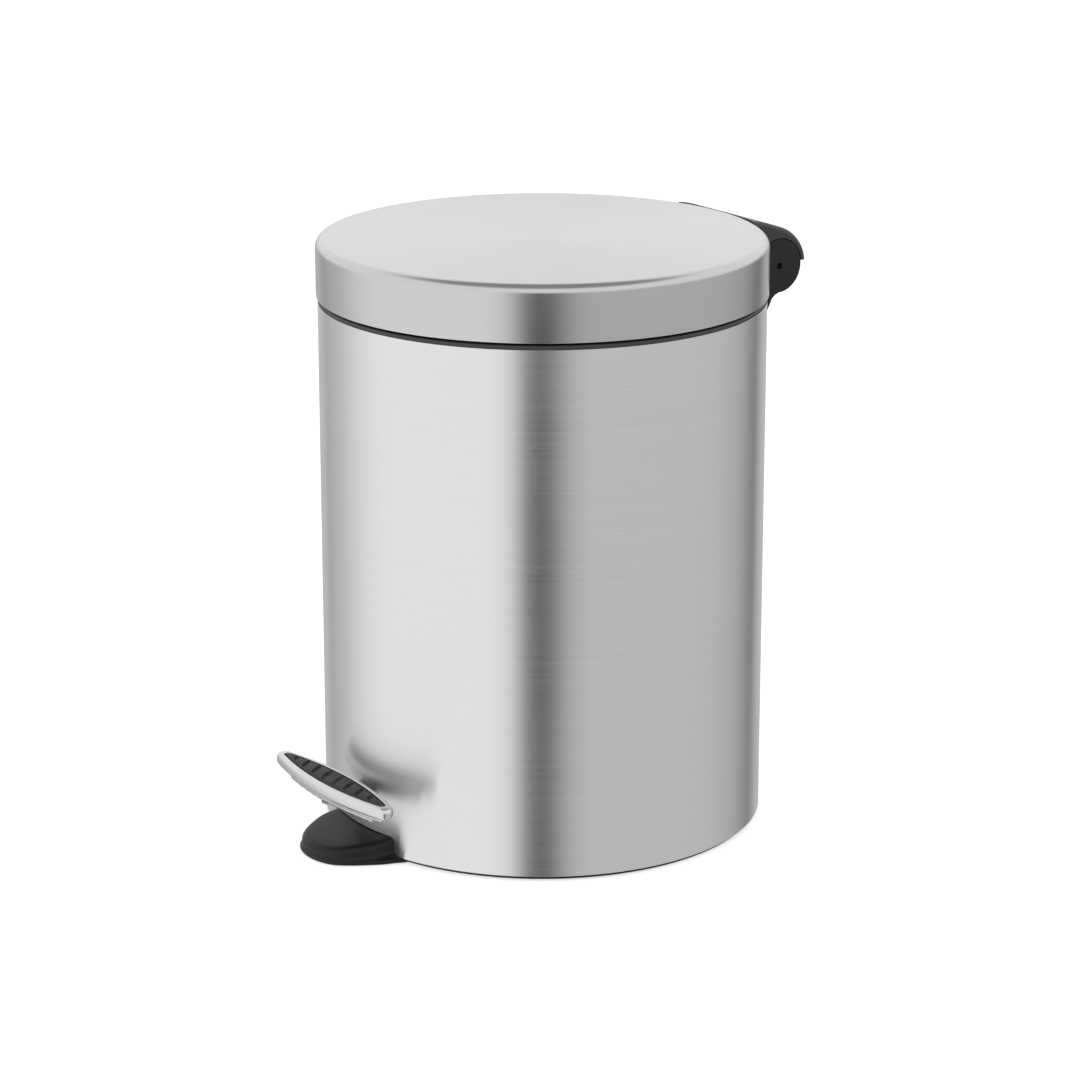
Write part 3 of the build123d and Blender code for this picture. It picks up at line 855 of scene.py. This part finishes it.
# %% Tread height
PAD_LOW_Z = 29.1
PAD_EDGE_Z = 34.5
PAD_Z = 35.15
PAD_CROWN = 0.4
BARS = 9
BAR_PITCH = 9.0
BAR_WIDTH = 6.3
BAR_SLANT = radians(30)
BAR_RISE = 0.75
BAR_SIDE = 0.9
TREAD_END = 0.95
TREAD_FADE = 0.12


def ease(value):
    value = min(1.0, max(0.0, value))
    return value * value * (3 - 2 * value)


def tread_height(x, y, share):
    """Height of the tread at x, y, where share runs from 0 in the middle to 1 at the outline."""
    along = x + (y - PEDAL_Y) * tan(BAR_SLANT)
    number = round(along / BAR_PITCH)
    near_bar = ease((BAR_WIDTH / 2 - abs(along - number * BAR_PITCH)) / BAR_SIDE + 0.5)
    inside = ease((TREAD_END - share) / TREAD_FADE)
    bar = near_bar if abs(number) <= BARS // 2 else 0.0
    return PAD_Z + PAD_CROWN * (1 - share ** 2) + BAR_RISE * bar * inside


print("tread rises to", round(tread_height(0, PEDAL_Y, 0), 2), "mm")

# %% [markdown]
# The skin is 35 rings between the pad's outline and a short ridge in the middle, close enough
# together for the bars' sides to come out smooth.

# %% Rubber pad
SIDE_STEPS = 240
SKIN_RINGS = 36
RIDGE = 0.12


def rubber_pad():
    levels = [(PAD_LOW_Z, 0.05), (PAD_EDGE_Z - 0.2, 0.05), (PAD_EDGE_Z, 0.2), (PAD_EDGE_Z, 0.75),
              (PAD_Z - 0.25, 0.85), (PAD_Z, 1.1)]
    loops = [lens(PAD_LENS, z, inset, SIDE_STEPS) for z, inset in levels]
    edge = loops[-1]
    for k in range(1, SKIN_RINGS):
        share = 1 - k / SKIN_RINGS
        ring = []
        for x, y, _ in edge:
            here = (x * (RIDGE + (1 - RIDGE) * share), PEDAL_Y + (y - PEDAL_Y) * share)
            ring.append((*here, tread_height(*here, share)))
        loops.append(ring)
    return stacked(loops)


stand_for(make_piece("rubber_pad", *rubber_pad(), black_rubber, 50), "pedal_pad")

# %% [markdown]
# What repeats is best left to Geometry Nodes. These helpers open a tree with named inputs, add a
# sum, and close the tree the same way each time: copies made real, then given their material.

# %% Node helpers
def new_tree(name, inputs):
    tree = bpy.data.node_groups.new(name, "GeometryNodeTree")
    tree.interface.new_socket("Geometry", in_out="INPUT", socket_type="NodeSocketGeometry")
    for label, kind in inputs:
        tree.interface.new_socket(label, in_out="INPUT", socket_type=kind)
    tree.interface.new_socket("Geometry", in_out="OUTPUT", socket_type="NodeSocketGeometry")
    return tree, tree.nodes.new("NodeGroupInput"), tree.nodes.new("NodeGroupOutput")


def calculate(tree, kind, first, second):
    step = tree.nodes.new("ShaderNodeMath")
    step.operation = kind
    for place, value in enumerate((first, second)):
        if isinstance(value, (int, float)):
            step.inputs[place].default_value = value
        else:
            tree.links.new(value, step.inputs[place])
    return step.outputs["Value"]


def close_tree(tree, given, out, copies):
    real = tree.nodes.new("GeometryNodeRealizeInstances")
    paint = tree.nodes.new("GeometryNodeSetMaterial")
    tree.links.new(copies, real.inputs["Geometry"])
    tree.links.new(real.outputs["Geometry"], paint.inputs["Geometry"])
    tree.links.new(given.outputs["Material"], paint.inputs["Material"])
    tree.links.new(paint.outputs["Geometry"], out.inputs["Geometry"])


def grow(piece, tree, values):
    """Runs the tree on the piece once and keeps the result as a plain mesh."""
    modifier = piece.modifiers.new(tree.name, "NODES")
    modifier.node_group = tree
    for item in tree.interface.items_tree:
        if item.item_type == "SOCKET" and item.in_out == "INPUT" and item.name in values:
            modifier[item.identifier] = values[item.name]
    shown = piece.evaluated_get(bpy.context.evaluated_depsgraph_get())
    result = bpy.data.meshes.new_from_object(shown)
    piece.modifiers.clear()
    piece.data = result
    result.set_sharp_from_angle(angle=radians(35))
    print(piece.name, "grew to", len(result.polygons), "faces")
    return piece


# %% [markdown]
# Inside the lid a black liner ring holds the sheet to shape. It is turned like the rest, and its
# gussets are one small rib repeated round the ring. The row leaves a gap at the back, where the
# bracket for the push rod hangs.

# %% Lid liner
liner_low, liner_high = (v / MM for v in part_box("lid_liner"))
LINER_IN = 99.9
LINER_OUT = 101.7
FLANGE_IN = 89.6
FLANGE_T = 1.3
TAB_HALF = 12
TAB_Y = (79, 92)


def liner_ring():
    top, under = liner_high.z, liner_high.z - FLANGE_T
    profile = soften([
        (LINER_IN, liner_low.z, 0.4), (LINER_OUT, liner_low.z, 0.4), (LINER_OUT, top, 0.2),
        (FLANGE_IN, top, 0.2), (FLANGE_IN, under, 0.4), (LINER_IN, under, 0.6),
    ])
    near, far = TAB_Y
    tab = [(-TAB_HALF, near), (TAB_HALF, near), (TAB_HALF, far), (-TAB_HALF, far)]
    plate = stacked([[(x, y, z) for x, y in tab] for z in (under, top)])
    return together(turned(profile, 240), plate)


stand_for(make_piece("liner_ring", *liner_ring(), black_plastic), "lid_liner")

# %% [markdown]
# One gusset is a thin web, deep at the ring's wall and tapering away inwards. The tree puts a point
# down for each copy and turns it by its own number times the step, so the row needs only a count
# and two angles.

# %% Liner ribs
RIBS = {"Count": 21, "First": radians(22.5), "Step": radians(15)}
RIB_SIDE = [(90.5, 266.4), (100.3, 266.4), (100.3, 255.0), (99.7, 255.2)]
RIB_HALF = 0.6


def rib_tree():
    inputs = [("Count", "NodeSocketInt"), ("First", "NodeSocketFloat"), ("Step", "NodeSocketFloat")]
    tree, given, out = new_tree("rib_row", inputs + [("Material", "NodeSocketMaterial")])
    dots = tree.nodes.new("GeometryNodePoints")
    tree.links.new(given.outputs["Count"], dots.inputs["Count"])
    index = tree.nodes.new("GeometryNodeInputIndex").outputs["Index"]
    turned_by = calculate(tree, "MULTIPLY", index, given.outputs["Step"])
    turned_by = calculate(tree, "ADD", turned_by, given.outputs["First"])
    facing = tree.nodes.new("ShaderNodeCombineXYZ")
    tree.links.new(turned_by, facing.inputs["Z"])
    copies = tree.nodes.new("GeometryNodeInstanceOnPoints")
    tree.links.new(dots.outputs["Points"], copies.inputs["Points"])
    tree.links.new(given.outputs["Geometry"], copies.inputs["Instance"])
    tree.links.new(facing.outputs["Vector"], copies.inputs["Rotation"])
    close_tree(tree, given, out, copies.outputs["Instances"])
    return tree


one_rib = make_piece("liner_ribs", *across(RIB_SIDE, -RIB_HALF, RIB_HALF), black_plastic)
ribs = grow(one_rib, rib_tree(), dict(RIBS, Material=black_plastic))
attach(ribs, "lid")
